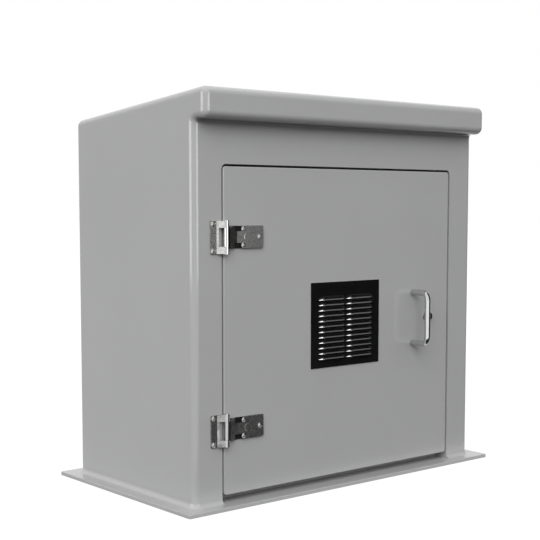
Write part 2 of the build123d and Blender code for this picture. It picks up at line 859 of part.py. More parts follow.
def lock_plug():
    """Turning core: triangular key post, shoulder, journal and square tail."""
    floor = face_y - lock_head_height + lock_recess_depth
    shoulder = floor - plug_head_height
    end = face_y + lock_barrel_length
    seat = floor - plug_floor_clearance
    plug = rod_y(lock_recess_radius - lock_running_clearance, lock_x, fittings_z, shoulder, seat)
    plug += rod_y(lock_bore_radius, lock_x, fittings_z, seat, end + cam_hub_clearance)
    post = Plane(origin=(lock_x, shoulder, fittings_z), x_dir=(1, 0, 0), z_dir=(0, -1, 0))
    triangle = RegularPolygon(key_triangle_height * 2 / 3, 3)
    plug += extrude(post * triangle, key_post_length)
    square = plug_square
    plug += block(
        lock_x - square / 2,
        lock_x + square / 2,
        end,
        end + cam_hub_clearance + cam_thickness,
        fittings_z - square / 2,
        fittings_z + square / 2,
    )
    tap_end = end + cam_hub_clearance + cam_thickness
    tap_start = tap_end - cam_screw_depth - past
    plug -= rod_y(cam_screw_radius + thread_clearance, lock_x, fittings_z, tap_start, tap_end + past)
    return plug


def lock_cam():
    """Cranked tongue, shown released; a quarter turn brings it behind the land."""
    hub_y = face_y + lock_barrel_length + cam_hub_clearance
    tip_y = land_back + cam_land_clearance
    with BuildSketch(Plane.YZ) as side:
        with BuildLine():
            Polyline(
                (hub_y, -cam_hub / 2 - cam_step),
                (hub_y + cam_thickness, -cam_hub / 2 - cam_step),
                (hub_y + cam_thickness, cam_hub / 2),
                (tip_y + cam_thickness, cam_ramp_end),
                (tip_y + cam_thickness, cam_length),
                (tip_y, cam_length),
                (tip_y, cam_ramp_end + cam_step),
                (hub_y, cam_hub / 2 + cam_step),
                close=True,
            )
        make_face()
    cam = Pos(lock_x, 0, fittings_z) * extrude(side.sketch, cam_width / 2, both=True)
    cam = fillet(cam.edges().filter_by(Axis.Y).group_by(Axis.Z)[-1], cam_width / 4)
    half = plug_square / 2 + cam_square_clearance
    cam -= block(
        lock_x - half,
        lock_x + half,
        hub_y - past,
        hub_y + cam_thickness + past,
        fittings_z - half,
        fittings_z + half,
    )
    return cam


def cam_screw():
    """Screw that holds the tongue on the plug."""
    seat = face_y + lock_barrel_length + cam_hub_clearance + cam_thickness
    screw = rod_y(cam_screw_head_radius, lock_x, fittings_z, seat, seat + cam_screw_head_height)
    screw = fillet(screw.edges().group_by(Axis.Y)[-1], cam_screw_head_round)
    return screw + rod_y(cam_screw_radius, lock_x, fittings_z, seat - cam_screw_depth, seat)


def board_places():
    """Four fixings near the corners of the equipment board."""
    x = board_width / 2 - board_inset
    low = board_bottom + board_inset
    high = board_top - board_inset
    return [(side * x, z) for side in (-1, 1) for z in (low, high)]


def equipment_board():
    """Plywood board that carries whatever is fitted inside."""
    inner = back_y - wall
    back = inner - board_stud_plate - spacer_length
    board = block(
        -board_width / 2,
        board_width / 2,
        back - board_thickness,
        back,
        board_bottom,
        board_top,
    )
    board = chamfer(board.edges().filter_by(Axis.Y), board_stud_plate)
    for x, z in board_places():
        hole = board_stud_radius + board_hole_clearance
        board -= rod_y(hole, x, z, back - board_thickness - past, back + past)
    return board


def board_fixings():
    """Bonded studs, spacers, and the washers and nuts in front of the board."""
    inner = back_y - wall
    plate_front = inner - board_stud_plate
    back = plate_front - spacer_length
    front = back - board_thickness
    washer_front = front - board_washer_thickness
    nut_front = washer_front - board_nut_height
    hole = board_stud_radius + board_hole_clearance
    thread = board_stud_radius + thread_clearance
    studs = []
    spacers = []
    nuts = []
    for x, z in board_places():
        stud = rod_y(board_stud_plate_radius, x, z, plate_front, inner)
        studs.append(stud + rod_y(board_stud_radius, x, z, nut_front - screw_past_nut, inner))
        spacer = rod_y(spacer_radius, x, z, back, plate_front)
        spacers.append(spacer - rod_y(hole, x, z, back - past, plate_front + past))
        washer = rod_y(board_washer_radius, x, z, washer_front, front)
        nut = hex_y(board_nut_across, x, z, nut_front, washer_front)
        nuts.append((washer + nut) - rod_y(thread, x, z, nut_front - past, front + past))
    return group(studs), group(spacers), group(nuts)


save("body_shell", body_shell())
save("door_panel", door_panel())
save("door_seal", door_seal())
frame_screws = []
frame_nuts = []
door_screws = []
door_nuts = []
for place, hinge_height in (("upper", hinge_height_upper), ("lower", hinge_height_lower)):
    save(f"hinge_frame_leaf_{place}", hinge_frame_leaf(hinge_height))
    save(f"hinge_door_leaf_{place}", hinge_door_leaf(hinge_height))
    save(f"hinge_packer_{place}", hinge_packer(hinge_height))
    save(f"hinge_pin_{place}", hinge_pin(hinge_height))
    hardware = hinge_hardware(hinge_height)
    frame_screws += hardware[0]
    frame_nuts += hardware[1]
    door_screws += hardware[2]
    door_nuts += hardware[3]
save("hinge_frame_screws", group(frame_screws))
save("hinge_frame_nuts", group(frame_nuts))
save("hinge_door_screws", group(door_screws))
save("hinge_door_nuts", group(door_nuts))
save("vent_louvre_plate", vent_louvre_plate())
save("vent_studs", vent_studs())
save("vent_screen", vent_screen())
save("vent_nuts", vent_nuts())
save("pull_handle", pull_handle())
handle_screws, handle_washers = handle_fixings()
save("handle_screws", handle_screws)
save("handle_washers", handle_washers)
save("lock_housing", lock_housing())
save("lock_nut", lock_nut())
save("lock_plug", lock_plug())
save("lock_cam", lock_cam())
save("lock_cam_screw", cam_screw())
save("equipment_board", equipment_board())
board_studs, board_spacers, board_nuts = board_fixings()
save("board_studs", board_studs)
save("board_spacers", board_spacers)
save("board_nuts", board_nuts)
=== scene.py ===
# %% [markdown]
# # A moulded roadside cabinet
# The construction is already fixed: every leaf, screw, hood and moulding comes from the frame at its real size.
# This lesson gives each piece its finish, adds the fine work that is too small for the frame, and lights the
# cabinet as a product photograph would. Everything is in metres, in the frame's own axes.

# %% Load the frame
import math

import bmesh
import bpy
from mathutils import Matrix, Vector


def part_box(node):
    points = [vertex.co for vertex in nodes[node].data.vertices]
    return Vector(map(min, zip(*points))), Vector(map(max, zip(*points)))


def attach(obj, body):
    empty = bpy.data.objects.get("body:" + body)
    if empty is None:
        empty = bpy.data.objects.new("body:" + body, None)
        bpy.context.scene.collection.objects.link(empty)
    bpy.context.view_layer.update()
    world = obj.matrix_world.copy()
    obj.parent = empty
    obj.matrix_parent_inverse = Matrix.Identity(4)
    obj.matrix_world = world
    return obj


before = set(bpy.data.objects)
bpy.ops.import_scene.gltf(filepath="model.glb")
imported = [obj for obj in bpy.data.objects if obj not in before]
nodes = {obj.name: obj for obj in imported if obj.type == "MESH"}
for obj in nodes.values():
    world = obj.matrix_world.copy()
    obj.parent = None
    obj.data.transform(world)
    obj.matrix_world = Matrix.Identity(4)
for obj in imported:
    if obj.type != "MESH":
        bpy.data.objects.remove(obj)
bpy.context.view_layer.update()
print("pieces in the frame:", len(nodes))

# %% [markdown]
# ## Reading sizes off the frame
# Where a node's corners give a size that the frame already knows, it is read off them rather than typed again.
# The corners of a node say where its faces are, so a finish that stops at the inside of a wall, or a mesh that
# lies on a plate, is placed from those corners.

# %% Faces and walls of the two mouldings
body_low, body_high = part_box("body_shell")
door_low, door_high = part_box("door_panel")
board_low, board_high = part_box("equipment_board")
screen_low, screen_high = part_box("vent_screen")
front_face = door_low.y
print("front face at y", round(front_face, 4), "door", [round(v, 3) for v in door_high - door_low])

# %% [markdown]
# ## Camera
# The photograph was taken with a fairly long lens from the front left, a little above the door's middle. The
# camera looks down by less than five degrees, and a small upward shift keeps the cabinet in the middle of the
# frame without tilting the camera, so that upright edges stay almost upright.

# %% Place the camera
CAMERA_PLACE = Vector((-1.7782, -2.0780, 0.6154))
CAMERA_TURN = math.radians(50.05)
CAMERA_PITCH = math.radians(4.87)
LENS_MM = 78.0
SHIFT_X = -0.0031
SHIFT_Y = 0.0663

scene = bpy.context.scene
camera_data = bpy.data.cameras.new("camera")
camera = bpy.data.objects.new("camera", camera_data)
scene.collection.objects.link(camera)
view_direction = Vector((
    math.cos(CAMERA_PITCH) * math.cos(CAMERA_TURN),
    math.cos(CAMERA_PITCH) * math.sin(CAMERA_TURN),
    -math.sin(CAMERA_PITCH),
))
camera.location = CAMERA_PLACE
camera.rotation_euler = view_direction.to_track_quat("-Z", "Y").to_euler()
camera_data.sensor_fit = "HORIZONTAL"
camera_data.sensor_width = 36.0
camera_data.lens = LENS_MM
camera_data.shift_x = SHIFT_X
camera_data.shift_y = SHIFT_Y
scene.camera = camera
scene.view_settings.view_transform = "Standard"
print("camera at", [round(v, 3) for v in camera.location])

# %% [markdown]
# ## A short way to write materials
# Each finish below is a small tree of nodes that ends in one Principled shader. Two helpers keep the trees
# readable: one starts a material, the other adds a node, sets its sockets and connects what it is given. A
# setting that is the same all over goes straight on the shader's own socket.

# %% Helpers for node trees
def start_material(name):
    """A new material with an empty tree but for its shader."""
    material = bpy.data.materials.new(name)
    material.use_nodes = True
    tree = material.node_tree
    tree.nodes.clear()
    output = tree.nodes.new("ShaderNodeOutputMaterial")
    shader = tree.nodes.new("ShaderNodeBsdfPrincipled")
    tree.links.new(shader.outputs["BSDF"], output.inputs["Surface"])
    return material, tree, shader


def add(tree, kind, settings=None, **sockets):
    """A node with its settings and sockets; a socket may be a value or another node's output."""
    node = tree.nodes.new(kind)
    for key, value in (settings or {}).items():
        setattr(node, key, value)
    for key, value in sockets.items():
        socket = node.inputs[int(key[1:])] if key[0] == "i" and key[1:].isdigit() else node.inputs[key]
        if isinstance(value, bpy.types.NodeSocket):
            tree.links.new(value, socket)
        else:
            socket.default_value = value
    return node


def position(tree):
    """Place on the piece, in metres: a node's object sits at the origin, so this is the frame's own place."""
    return add(tree, "ShaderNodeTexCoord").outputs["Object"]


def stretched(tree, factors):
    """The same place with each axis scaled, for grain that runs one way."""
    return add(tree, "ShaderNodeVectorMath", {"operation": "MULTIPLY"}, i0=position(tree), i1=factors).outputs[0]


def noise(tree, scale, detail=3.0, roughness=0.5, vector=None):
    """Soft random variation, as many cells per metre as the scale says."""
    node = add(tree, "ShaderNodeTexNoise", Vector=vector or position(tree), Scale=scale, Detail=detail,
               Roughness=roughness)
    return node.outputs["Fac"]


def between(tree, value, low, high, out_low, out_high, smooth=False):
    """Carry a value from one range to another."""
    kind = "SMOOTHSTEP" if smooth else "LINEAR"
    node = add(tree, "ShaderNodeMapRange", {"interpolation_type": kind}, i0=value, i1=low, i2=high, i3=out_low,
               i4=out_high)
    return node.outputs[0]


def shade(tree, value, dark, light):
    """Mix two greys or colours by a value."""
    node = add(tree, "ShaderNodeMix", {"data_type": "RGBA"}, i0=value, i6=(*dark, 1), i7=(*light, 1))
    return node.outputs[2]


def bump(tree, height, distance):
    """A small relief at full strength, its depth in metres."""
    return add(tree, "ShaderNodeBump", Height=height, Distance=distance, Strength=1.0).outputs["Normal"]


def math_node(tree, operation, first, second=0.0):
    """One arithmetic step."""
    return add(tree, "ShaderNodeMath", {"operation": operation}, i0=first, i1=second).outputs[0]


def connect(tree, output, socket):
    """Join an output to a socket of the shader."""
    tree.links.new(output, socket)


def dress(names, material):
    """Give CAD pieces a finish."""
    for name in names:
        mesh = nodes[name].data
        mesh.materials.clear()
        mesh.materials.append(material)

# %% [markdown]
# ## Gelcoat
# The body and the door are laid up in a mould: glossy grey gelcoat on the outside, glass strands in resin on the
# inside. The outside is nearly a mirror for whatever stands close to it, so the handle shows in the door and the
# wall shows in the flange. It has a very faint long waviness from the mould, and no visible grain. The inside is
# dull, a shade greener, and shows the strands. One material does both, told apart by place: a point that lies
# nearly a wall's thickness behind the outer face is inside. The margin is deeper than the rounded corners cut in.

# %% The gelcoat and its laid-up inside
INSIDE_DEPTH = 0.0047
GELCOAT_DARK = (0.322, 0.323, 0.324)
GELCOAT_LIGHT = (0.332, 0.333, 0.334)
STRAND_DARK = (0.200, 0.215, 0.190)
STRAND_LIGHT = (0.330, 0.345, 0.310)
GELCOAT_ROUGHNESS = 0.13
ROUGHNESS_SPREAD = 0.02
STRAND_ROUGHNESS = 0.55
CLOUD_CELLS = 5.0
STRAND_CELLS = 60.0
RIPPLE_CELLS = 9.0
PEEL_CELLS = 900.0
PEEL_SHARE = 0.006
STRAND_SHARE = 3.0
MOULD_RELIEF = 0.0004


def deep_inside(tree, low, high, depth):
    """One where the place is further than a depth inside a box, nothing outside it."""
    place = add(tree, "ShaderNodeSeparateXYZ", Vector=position(tree))
    inside = None
    for axis in range(3):
        middle = (low[axis] + high[axis]) / 2
        reach = (high[axis] - low[axis]) / 2 - depth
        away = math_node(tree, "ABSOLUTE", math_node(tree, "SUBTRACT", place.outputs[axis], middle))
        within = math_node(tree, "LESS_THAN", away, reach)
        inside = within if inside is None else math_node(tree, "MULTIPLY", inside, within)
    return inside


def gelcoat(name, find_inside):
    """Gelcoat all over, but for the places that a function of the tree finds to be inside."""
    material, tree, shader = start_material(name)
    inside = find_inside(tree)
    cloud = noise(tree, CLOUD_CELLS, 4.0)
    coat = shade(tree, between(tree, cloud, 0.3, 0.7, 0.0, 1.0), GELCOAT_DARK, GELCOAT_LIGHT)
    strands = noise(tree, STRAND_CELLS, 6.0, 0.7, stretched(tree, (1.0, 1.0, 0.25)))
    crossing = noise(tree, STRAND_CELLS, 6.0, 0.7, stretched(tree, (0.25, 1.0, 1.0)))
    lay = math_node(tree, "MAXIMUM", strands, crossing)
    laid = shade(tree, between(tree, lay, 0.4, 0.75, 0.0, 1.0), STRAND_DARK, STRAND_LIGHT)
    colour = add(tree, "ShaderNodeMix", {"data_type": "RGBA"}, i0=inside, i6=coat, i7=laid).outputs[2]
    connect(tree, colour, shader.inputs["Base Color"])
    smoothest = GELCOAT_ROUGHNESS - ROUGHNESS_SPREAD
    roughest = GELCOAT_ROUGHNESS + ROUGHNESS_SPREAD
    fine = between(tree, noise(tree, 40.0, 3.0), 0.3, 0.7, smoothest, roughest)
    rough = add(tree, "ShaderNodeMix", {"data_type": "FLOAT"}, i0=inside, i2=fine, i3=STRAND_ROUGHNESS)
    connect(tree, rough.outputs[0], shader.inputs["Roughness"])
    ripple = noise(tree, RIPPLE_CELLS, 2.0)
    peel = noise(tree, PEEL_CELLS, 1.0)
    outside_relief = math_node(tree, "ADD", ripple, math_node(tree, "MULTIPLY", peel, PEEL_SHARE))
    inside_relief = math_node(tree, "MULTIPLY", lay, STRAND_SHARE)
    relief = add(tree, "ShaderNodeMix", {"data_type": "FLOAT"}, i0=inside, i2=outside_relief, i3=inside_relief)
    connect(tree, bump(tree, relief.outputs[0], MOULD_RELIEF), shader.inputs["Normal"])
    shader.inputs["IOR"].default_value = 1.5
    return material

# %% [markdown]
# ### Where the body and the door are inside
# The body's inside lies behind the front wall, between the side walls and under the roof, which falls towards the
# back. The doorway's frame is moulded too, so a box round it keeps its gelcoat. The door's inside is simply what
# lies behind its skin and between its returned edges.

# %% Find the insides and dress both mouldings
ROOF_SLOPE = math.tan(math.radians(5.2))
ROOF_DEPTH = 0.0025
VISOR_REACH = 0.039
FLANGE_SIDE = 0.035
FLANGE_BACK = 0.030
DOOR_GAP = 0.0045
FRAME_DEPTH = 0.039
FRAME_SPARE = 0.001
FRAME_PROUD = 0.010
DOOR_OPEN_BACK = 0.05
OUT_OF_REACH = 1.0
side_face = body_high.x - FLANGE_SIDE
back_face = body_high.y - FLANGE_BACK
visor_face = front_face - VISOR_REACH
frame_margin = DOOR_GAP + FRAME_SPARE
walls_low = Vector((-side_face, front_face, -OUT_OF_REACH))
walls_high = Vector((side_face, back_face, OUT_OF_REACH))
doorway_low = Vector((door_low.x - frame_margin, front_face - FRAME_PROUD, -OUT_OF_REACH))
doorway_high = Vector((
    door_high.x + frame_margin,
    front_face + FRAME_DEPTH,
    door_high.z + frame_margin,
))


def body_inside(tree):
    """Between the walls, under the roof and not on the doorway's frame."""
    walls = deep_inside(tree, walls_low, walls_high, INSIDE_DEPTH)
    place = add(tree, "ShaderNodeSeparateXYZ", Vector=position(tree))
    fallen = math_node(tree, "MULTIPLY", math_node(tree, "SUBTRACT", place.outputs[1], visor_face), ROOF_SLOPE)
    roof = math_node(tree, "SUBTRACT", body_high.z - ROOF_DEPTH, fallen)
    under = math_node(tree, "LESS_THAN", place.outputs[2], roof)
    frame_kept = deep_inside(tree, doorway_low, doorway_high, 0.0)
    bare = math_node(tree, "SUBTRACT", 1.0, frame_kept)
    return math_node(tree, "MULTIPLY", math_node(tree, "MULTIPLY", walls, under), bare)


def door_inside(tree):
    """Behind the door's skin and between its returned edges."""
    return deep_inside(tree, door_low, door_high + Vector((0, DOOR_OPEN_BACK, 0)), INSIDE_DEPTH)


dress(["body_shell"], gelcoat("gelcoat_body", body_inside))
dress(["door_panel"], gelcoat("gelcoat_door", door_inside))
print("side wall at x", round(side_face, 4), "back wall at y", round(back_face, 4))

# %% [markdown]
# ## Stainless hinges
# The leaves are pressed from stainless sheet with a brushed face. The brush runs along the door, so the fine
# scratches are noise stretched in X, and they spread a reflection into a soft grey. The leaf on the door has a
# darker and cloudier grey than the one on the frame. Both leaves of the lower hinge are darker again, each with a
# finish of its own, as painted shade for the darker surroundings that the lower hinge mirrors. The screws are
# turned and polished, so their heads are small clean mirrors, bright on one side and black on the other.

# %% Brushed sheet and turned screws
KNUCKLE_RADIUS = 0.00575
ROLLED_STEEL = (0.50, 0.50, 0.50)
ROLLED_ROUGHNESS = 0.05
ROLL_BLEND = 0.0008
CLOUD_SHARE = 0.6
BRUSH_SHARE = 0.4
SCRATCH_DEPTH = 0.00003
POLISH_DEPTH = 0.00001
pin_low, pin_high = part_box("hinge_pin_upper")
pin_x = (pin_low.x + pin_high.x) / 2


def brushed_steel(name, dark, light, rough_low, rough_high):
    """Brushed sheet with cloudy patches, burnished clean where it is rolled round the pin."""
    material, tree, shader = start_material(name)
    cloud = noise(tree, 120.0, 4.0, 0.6)
    brush = noise(tree, 1400.0, 3.0, 0.6, stretched(tree, (0.06, 1.0, 1.0)))
    patches = math_node(tree, "MULTIPLY", cloud, CLOUD_SHARE)
    scratches = math_node(tree, "MULTIPLY", brush, BRUSH_SHARE)
    tone = math_node(tree, "ADD", patches, scratches)
    sheet = shade(tree, between(tree, tone, 0.38, 0.62, 0.0, 1.0), dark, light)
    place = add(tree, "ShaderNodeSeparateXYZ", Vector=position(tree))
    from_pin = math_node(tree, "ABSOLUTE", math_node(tree, "SUBTRACT", place.outputs[0], pin_x))
    rolled = between(tree, from_pin, KNUCKLE_RADIUS, KNUCKLE_RADIUS + ROLL_BLEND, 1.0, 0.0, smooth=True)
    colour = add(tree, "ShaderNodeMix", {"data_type": "RGBA"}, i0=rolled, i6=sheet, i7=(*ROLLED_STEEL, 1))
    connect(tree, colour.outputs[2], shader.inputs["Base Color"])
    worn = between(tree, tone, 0.35, 0.65, rough_high, rough_low)
    rough = add(tree, "ShaderNodeMix", {"data_type": "FLOAT"}, i0=rolled, i2=worn, i3=ROLLED_ROUGHNESS)
    connect(tree, rough.outputs[0], shader.inputs["Roughness"])
    connect(tree, bump(tree, brush, SCRATCH_DEPTH), shader.inputs["Normal"])
    shader.inputs["Metallic"].default_value = 1.0
    return material


def turned_steel(name, dark, light, rough_low, rough_high):
    """Turned and polished metal, nearly clean."""
    material, tree, shader = start_material(name)
    cloud = noise(tree, 220.0, 4.0)
    connect(tree, shade(tree, between(tree, cloud, 0.3, 0.7, 0.0, 1.0), dark, light), shader.inputs["Base Color"])
    connect(tree, between(tree, cloud, 0.3, 0.7, rough_low, rough_high), shader.inputs["Roughness"])
    connect(tree, bump(tree, cloud, POLISH_DEPTH), shader.inputs["Normal"])
    shader.inputs["Metallic"].default_value = 1.0
    return material


frame_leaf_finish = brushed_steel("stainless_frame_leaf", (0.42, 0.42, 0.41), (0.70, 0.70, 0.68), 0.20, 0.32)
door_leaf_finish = brushed_steel("stainless_door_leaf", (0.24, 0.24, 0.24), (0.62, 0.62, 0.61), 0.25, 0.40)
turned_finish = turned_steel("stainless_turned", (0.42, 0.42, 0.42), (0.54, 0.54, 0.53), 0.05, 0.10)
zinc_finish = turned_steel("zinc_plate", (0.46, 0.47, 0.48), (0.60, 0.60, 0.58), 0.25, 0.42)
# The lower hinge's leaves are darker than the upper ones: painted shade for the darker surroundings they mirror.
painted_shade_frame_leaf_low = brushed_steel("stainless_frame_low_painted_shade", (0.22, 0.22, 0.22), (0.56, 0.56, 0.55), 0.20, 0.32)
painted_shade_door_leaf_low = brushed_steel("stainless_door_low_painted_shade", (0.12, 0.12, 0.12), (0.46, 0.46, 0.45), 0.25, 0.40)
dress(["hinge_frame_leaf_upper"], frame_leaf_finish)
dress(["hinge_door_leaf_upper"], door_leaf_finish)
dress(["hinge_frame_leaf_lower"], painted_shade_frame_leaf_low)
dress(["hinge_door_leaf_lower"], painted_shade_door_leaf_low)
dress(["hinge_pin_upper", "hinge_pin_lower", "hinge_frame_screws", "hinge_door_screws"], turned_finish)
zinc_pieces = [
    "hinge_frame_nuts", "hinge_door_nuts", "vent_studs", "vent_nuts", "handle_screws", "handle_washers",
    "lock_nut", "lock_cam", "lock_cam_screw", "board_studs", "board_nuts", "vent_screen",
]
dress(zinc_pieces, zinc_finish)
print("stainless on the leaves, pins and screws, zinc on", len(zinc_pieces), "inner pieces")

# %% [markdown]
# ## Chrome
# The pull handle and the lock head are polished and plated, the handle bright and the head black with a bright
# key post. Chrome is almost all reflection, so its look comes from what stands around it: it needs a very low
# roughness, a faint blue-grey tint and only a trace of haze where hands rub it.

# %% Polished chrome
CHROME_WAVE = 0.00008


def chrome(name, dark, light):
    """Plated mirror finish with a trace of handling haze."""
    material, tree, shader = start_material(name)
    haze = noise(tree, 45.0, 4.0)
    connect(tree, shade(tree, haze, dark, light), shader.inputs["Base Color"])
    connect(tree, between(tree, haze, 0.35, 0.75, 0.05, 0.12), shader.inputs["Roughness"])
    connect(tree, bump(tree, noise(tree, 30.0, 2.0), CHROME_WAVE), shader.inputs["Normal"])
    shader.inputs["Metallic"].default_value = 1.0
    return material


bright_finish = chrome("bright_chrome", (0.56, 0.57, 0.58), (0.64, 0.64, 0.65))
black_finish = chrome("black_chrome", (0.05, 0.05, 0.05), (0.07, 0.07, 0.07))
dress(["pull_handle", "lock_plug"], bright_finish)
dress(["lock_housing"], black_finish)
print("chrome on the handle and lock")

# %% [markdown]
# ## Black powder coat, rubber and nylon
# The vent plate is pressed first and coated after, so the paint flows over every hood: a deep black with a low
# gloss and a very fine orange-peel surface. The seal and the hinge pads are softer blacks, and the pads are far
# darker than black rubber is, as painted shade for the shade seen through the hinge slots. The spacers behind the
# board are natural nylon, off-white and slightly waxy.

# %% Blacks and nylon
def plain_finish(name, dark, light, rough_low, rough_high, cells, relief, ior=1.5):
    """An even coated or moulded surface with fine variation."""
    material, tree, shader = start_material(name)
    cloud = noise(tree, cells * 0.1, 3.0)
    connect(tree, shade(tree, between(tree, cloud, 0.3, 0.7, 0.0, 1.0), dark, light), shader.inputs["Base Color"])
    connect(tree, between(tree, cloud, 0.3, 0.7, rough_low, rough_high), shader.inputs["Roughness"])
    connect(tree, bump(tree, noise(tree, cells, 2.0), relief), shader.inputs["Normal"])
    shader.inputs["IOR"].default_value = ior
    return material


vent_finish = plain_finish("vent_black", (0.004,) * 3, (0.006,) * 3, 0.07, 0.11, cells=900.0, relief=0.00002)
seal_finish = plain_finish(
    "seal_rubber", (0.012, 0.012, 0.012), (0.022, 0.022, 0.021), 0.55, 0.75, cells=400.0, relief=0.0002)
# The pads are black rubber taken far below rubber's own black, as painted shade for the deep shade in the hinge
# slots.
packer_painted_shade_finish = plain_finish(
    "packer_black", (0.002,) * 3, (0.004,) * 3, 0.6, 0.7, cells=500.0, relief=0.0001, ior=1.3)
nylon_finish = plain_finish(
    "spacer_nylon", (0.62, 0.61, 0.56), (0.70, 0.69, 0.65), 0.35, 0.45, cells=200.0, relief=0.0001)
dress(["vent_louvre_plate"], vent_finish)
dress(["door_seal"], seal_finish)
dress(["hinge_packer_upper", "hinge_packer_lower"], packer_painted_shade_finish)
dress(["board_spacers"], nylon_finish)
print("black on the vent, seal and pads")

# %% [markdown]
# ## Plywood
# The equipment board is exterior plywood. Its face shows long, wavy grain along the board, and its edge shows the
# plies, dark and light in turn. Both come from place: a sine wave up the board, bent by noise that is stretched
# along X, for the face, and narrow bands across the board's thickness for the edge.

# %% Plywood grain and plies
PLIES = 7
GRAIN_PITCH = 9.0
GRAIN_BEND = 3.4
RING_COUNT = 22.0
RING_SHARE = 0.18
FIBRE_SHARE = 0.9
FACE_DEPTH = 0.0003
FIBRE_RELIEF = 0.0003
board_middle = (board_low.y + board_high.y) / 2
board_half = (board_high.y - board_low.y) / 2


def plywood(name):
    """Rotary-cut face grain, with the plies on the edges."""
    material, tree, shader = start_material(name)
    bend = noise(tree, 3.0, 4.0, 0.5, stretched(tree, (0.35, 1.0, 1.0)))
    place = add(tree, "ShaderNodeSeparateXYZ", Vector=position(tree))
    climb = math_node(tree, "MULTIPLY", place.outputs[2], GRAIN_PITCH)
    wander = math_node(tree, "MULTIPLY", bend, GRAIN_BEND)
    across = math_node(tree, "ADD", climb, wander)
    rings = math_node(tree, "SINE", math_node(tree, "MULTIPLY", across, RING_COUNT))
    fibre = noise(tree, 420.0, 3.0, 0.6, stretched(tree, (0.03, 1.0, 1.0)))
    soft_rings = math_node(tree, "MULTIPLY", rings, RING_SHARE)
    strong_fibre = math_node(tree, "MULTIPLY", fibre, FIBRE_SHARE)
    grain = math_node(tree, "ADD", soft_rings, strong_fibre)
    face = shade(tree, between(tree, grain, 0.1, 0.8, 0.0, 1.0), (0.30, 0.17, 0.075), (0.56, 0.37, 0.19))
    ply_thickness = (board_high.y - board_low.y) / PLIES
    ply = math_node(tree, "DIVIDE", math_node(tree, "SUBTRACT", place.outputs[1], board_low.y), ply_thickness)
    stripe = math_node(tree, "MODULO", math_node(tree, "FLOOR", ply), 2.0)
    edge = shade(tree, stripe, (0.20, 0.11, 0.05), (0.50, 0.34, 0.18))
    from_middle = math_node(tree, "ABSOLUTE", math_node(tree, "SUBTRACT", place.outputs[1], board_middle))
    on_face = math_node(tree, "GREATER_THAN", from_middle, board_half - FACE_DEPTH)
    colour = add(tree, "ShaderNodeMix", {"data_type": "RGBA"}, i0=on_face, i6=edge, i7=face).outputs[2]
    connect(tree, colour, shader.inputs["Base Color"])
    connect(tree, between(tree, fibre, 0.3, 0.7, 0.5, 0.68), shader.inputs["Roughness"])
    connect(tree, bump(tree, fibre, FIBRE_RELIEF), shader.inputs["Normal"])
    return material


dress(["equipment_board"], plywood("plywood"))
print("plywood on the equipment board")

# %% [markdown]
# ## Insect mesh
# Behind the louvres a woven wire mesh keeps insects out. It lies on the perforated plate's inner face and is seen
# through the holes and from inside the door. Each wire is a thin square tube that waves over and under the wires
# that cross it, which takes one long strip of faces a wire and still reads as cloth from a hand's distance.

# %% Weave the mesh
WIRE_PITCH = 0.0032
WIRE_HALF = 0.0003
WEAVE_RISE = 0.0004
MESH_MARGIN = 0.012


def wire_strip(builder, along, across_place, start, count, rise_sign, depth):
    """One wire: square rings at every crossing, joined into a tube."""
    rings = []
    for step in range(count):
        lift = WEAVE_RISE if (step + rise_sign) % 2 else -WEAVE_RISE
        run = start + step * WIRE_PITCH
        ring = []
        for side, out in ((-1, -1), (1, -1), (1, 1), (-1, 1)):
            offset = side * WIRE_HALF
            y = depth + lift + out * WIRE_HALF
            spot = (run, y, across_place + offset) if along == "x" else (across_place + offset, y, run)
            ring.append(builder.verts.new(spot))
        rings.append(ring)
    for first, second in zip(rings, rings[1:]):
        for corner in range(4):
            after = (corner + 1) % 4
            builder.faces.new((first[corner], first[after], second[after], second[corner]))
    builder.faces.new(rings[0][::-1])
    builder.faces.new(rings[-1])


def insect_mesh():
    """A panel of woven wire on the inner face of the perforated plate."""
    width = screen_high.x - screen_low.x - 2 * MESH_MARGIN
    height = screen_high.z - screen_low.z - 2 * MESH_MARGIN
    columns = int(width / WIRE_PITCH)
    rows = int(height / WIRE_PITCH)
    left = screen_low.x + MESH_MARGIN
    bottom = screen_low.z + MESH_MARGIN
    depth = screen_high.y + WEAVE_RISE + WIRE_HALF
    builder = bmesh.new()
    for row in range(rows):
        wire_strip(builder, "x", bottom + row * WIRE_PITCH, left, columns, row, depth)
    for column in range(columns):
        wire_strip(builder, "z", left + column * WIRE_PITCH, bottom, rows, column + 1, depth)
    bmesh.ops.recalc_face_normals(builder, faces=builder.faces)
    mesh = bpy.data.meshes.new("insect_mesh")
    builder.to_mesh(mesh)
    builder.free()
    return bpy.data.objects.new("insect_mesh", mesh)


woven = insect_mesh()
scene.collection.objects.link(woven)
woven.data.materials.append(turned_finish)
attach(woven, "door")
print("insect mesh faces:", len(woven.data.polygons))

# %% [markdown]
# ## Floor and surroundings
# The photograph has a clean white ground. The floor is a wide sheet that the camera and every mirror see as
# white, with a little of its brightness left to the lamps, so that the cabinet still throws a soft shadow on it.
# Light that has bounced off the floor reaches the cabinet as if from dark card, because in the photograph the
# visor's underside is almost black. The world is an even white room, which lights every side about equally. It
# lights a little more strongly than it looks, so that its reflections stay at plain white.

# %% Floor and world
FLOOR_HALF = 30.0
FLOOR_LEVEL = -0.0002
FLOOR_GLOW = 0.80
FLOOR_WHITE = (0.20, 0.20, 0.20)
FLOOR_BOUNCE = (0.02, 0.02, 0.02)
ROOM_LIGHT = 1.22
ROOM_SEEN = 1.0


def seen_directly(tree):
    """One for rays from the camera, mirror reflections and glass, nothing for diffuse light."""
    path = add(tree, "ShaderNodeLightPath")
    both = math_node(tree, "MAXIMUM", path.outputs["Is Camera Ray"], path.outputs["Is Glossy Ray"])
    return math_node(tree, "MAXIMUM", both, path.outputs["Is Transmission Ray"])


